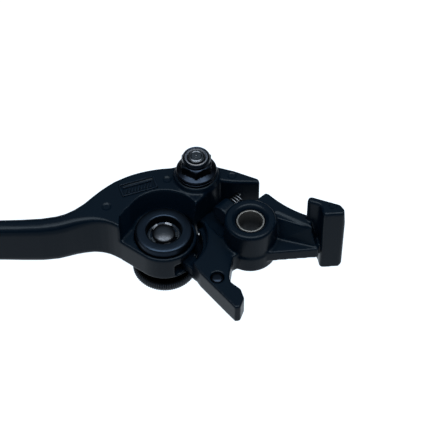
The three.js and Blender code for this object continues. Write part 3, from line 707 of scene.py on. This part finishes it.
# The adjuster wheel is anodised aluminium with a fine straight knurl round its rim and a hub above it. Its
# gloss is worn down by fingers.
low, high = in_mm("adjuster_wheel")
wheel_radius = (high.x - low.x) / 2
wheel_top = -12.8
hub_radius = 6.4
knurl_ridges = 88
steps_per_ridge = 4
ridge_depth = 0.42
bore_radius = post_radius + 0.15
bm = turned(drum_axis, [
    (bore_radius, low.z),
    (6.2, low.z),
    (6.6, low.z + 0.5),
    (9.2, low.z + 0.5),
    (9.6, low.z),
    (wheel_radius - 0.6, low.z),
    (wheel_radius - 0.02, low.z + 0.6),
    (wheel_radius - 0.02, wheel_top - 0.6),
    (wheel_radius - 0.6, wheel_top),
    (hub_radius, wheel_top),
    (hub_radius, high.z),
    (bore_radius, high.z),
], knurl_ridges * steps_per_ridge, is_ring=True)
for vertex in bm.verts:
    offset = (vertex.co - drum_axis).xy
    if offset.length > wheel_radius - 0.1:
        turn = math.atan2(offset.y, offset.x) * knurl_ridges / (2 * math.pi)
        groove = abs((turn % 1) - 0.5) * 2
        vertex.co.xy = drum_axis.xy + offset.normalized() * (wheel_radius - 0.02 - ridge_depth * groove)
worn_anodised = metal("worn_black_anodised", "#0f151c", "#1c232b", 0.42, 0.3, 0.01, drum_axis)
# Painted shade, with some grime, darkens the knurl's grooves and all inside them; the crests keep their tone.
tree = worn_anodised.node_tree
from_axis = add_node(tree, "VectorMath", {"operation": "SUBTRACT"}, {
    0: add_node(tree, "TexCoord").outputs["Object"], 1: drum_axis * mm,
})
in_plan = add_node(tree, "VectorMath", {"operation": "MULTIPLY"}, {
    0: from_axis.outputs["Vector"], 1: (1, 1, 0),
})
reach = add_node(tree, "VectorMath", {"operation": "LENGTH"}, {0: in_plan.outputs["Vector"]})
crest = add_node(tree, "MapRange", inputs={
    "Value": reach.outputs["Value"],
    "From Min": (wheel_radius - ridge_depth) * mm,
    "From Max": (wheel_radius - 0.1) * mm,
})
paint_dark(worn_anodised, crest.outputs["Result"], "#030405")
wheel = hardware("knurled_wheel", bm, worn_anodised)
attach(wheel, "adjuster")
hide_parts("adjuster_wheel")

# The waved washer is a thin spring-steel ring that keeps the wheel from rattling.
low, high = in_mm("wave_washer")
wave_radius = (high.x - low.x) / 2
wave_thickness = 0.4
wave_lift = (high.z - low.z - wave_thickness) / 2
middle = (low.z + high.z) / 2
bm = turned(drum_axis, [
    (hub_radius + 0.3, middle - wave_thickness / 2),
    (wave_radius, middle - wave_thickness / 2),
    (wave_radius, middle + wave_thickness / 2),
    (hub_radius + 0.3, middle + wave_thickness / 2),
], is_ring=True)
for vertex in bm.verts:
    offset = vertex.co - drum_axis
    vertex.co.z += wave_lift * math.sin(3 * math.atan2(offset.y, offset.x))
wave_ring = hardware("waved_ring", bm, zinc_plate)
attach(wave_ring, "lever")
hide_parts("wave_washer")

# The wheel screw holds the wheel on the post from below. Its pan head is pressed with a cross recess.
low, high = in_mm("wheel_screw")
screw_head_radius = (high.x - low.x) / 2
screw_head_height = 1.6
screw_radius = 1.5
recess_width = 1.1
recess_length = 4.4
cross_depth = 0.9
screw = hardware("pan_head_screw", turned(drum_axis, [
    (0, low.z),
    (screw_head_radius - 1.6, low.z + 0.02),
    (screw_head_radius - 0.8, low.z + 0.2),
    (screw_head_radius - 0.2, low.z + 0.6),
    (screw_head_radius, low.z + 1.1),
    (screw_head_radius, low.z + screw_head_height),
    (screw_radius, low.z + screw_head_height),
    (screw_radius, high.z - 0.3),
    (screw_radius - 0.3, high.z),
    (0, high.z),
]), zinc_plate)
bm = bmesh.new()
for turn in (0, math.pi / 2):
    arm = bmesh.ops.create_cube(bm, size=1)["verts"]
    bmesh.ops.scale(bm, vec=(recess_length, recess_width, 2 * cross_depth), verts=arm)
    place = Matrix.Translation((drum_axis.x, drum_axis.y, low.z)) @ Matrix.Rotation(turn, 4, "Z")
    bmesh.ops.transform(bm, matrix=place, verts=arm)
punch = hardware("cross_punch", bm, zinc_plate)
pressed = screw.modifiers.new("cross_recess", "BOOLEAN")
pressed.operation = "DIFFERENCE"
pressed.object = punch
pressed.use_self = True
shaped = bpy.data.meshes.new_from_object(screw.evaluated_get(bpy.context.evaluated_depsgraph_get()))
screw.modifiers.clear()
screw.data = shaped
bpy.data.objects.remove(punch)
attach(screw, "adjuster")
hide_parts("wheel_screw")

# The click stop's ball and its small spring sit in a bore in the lever, behind the drum.
for node in ("detent_ball", "detent_spring"):
    nodes[node].data.materials.clear()
    nodes[node].data.materials.append(zinc_plate)

# The return spring is a coil of dulled zinc-plated wire, between a socket beside the pivot boss and the
# lever's lobe. It is drawn at one length, though in use it is pressed shorter as the blade is pushed away.
low, high = in_mm("return_spring")
wire = 0.8
coil_radius = (high.z - low.z - wire) / 2
coil_axis = Vector((math.cos(math.radians(45)), math.sin(math.radians(45)), 0))
coil_length = (high.x - low.x) / coil_axis.x - 2 * coil_radius - wire
coil_middle = (low + high) / 2
coil_start = coil_middle - coil_axis * coil_length / 2
coil_turns = 7
steps_per_turn = 32
bm = bmesh.new()
bmesh.ops.create_circle(bm, segments=12, radius=wire / 2)
# The wire's section stands across the coil, at its top, before it is wound round and along the axis.
across = coil_axis.cross(Vector((0, 0, 1)))
turn_to_wire = Matrix((coil_axis, Vector((0, 0, 1)), across)).transposed().to_4x4()
bmesh.ops.transform(bm, matrix=turn_to_wire, verts=bm.verts)
bmesh.ops.translate(bm, vec=coil_start + Vector((0, 0, coil_radius)), verts=bm.verts)
steps = coil_turns * steps_per_turn
bmesh.ops.spin(
    bm, geom=bm.verts[:] + bm.edges[:], cent=coil_start, axis=coil_axis, dvec=coil_axis * coil_length / steps,
    angle=2 * math.pi * coil_turns, steps=steps,
)
bmesh.ops.holes_fill(bm, edges=[edge for edge in bm.edges if edge.is_boundary])
spring = hardware("coil_spring", bm, dulled_zinc)
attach(spring, "actuator")
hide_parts("return_spring")
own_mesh(spring)
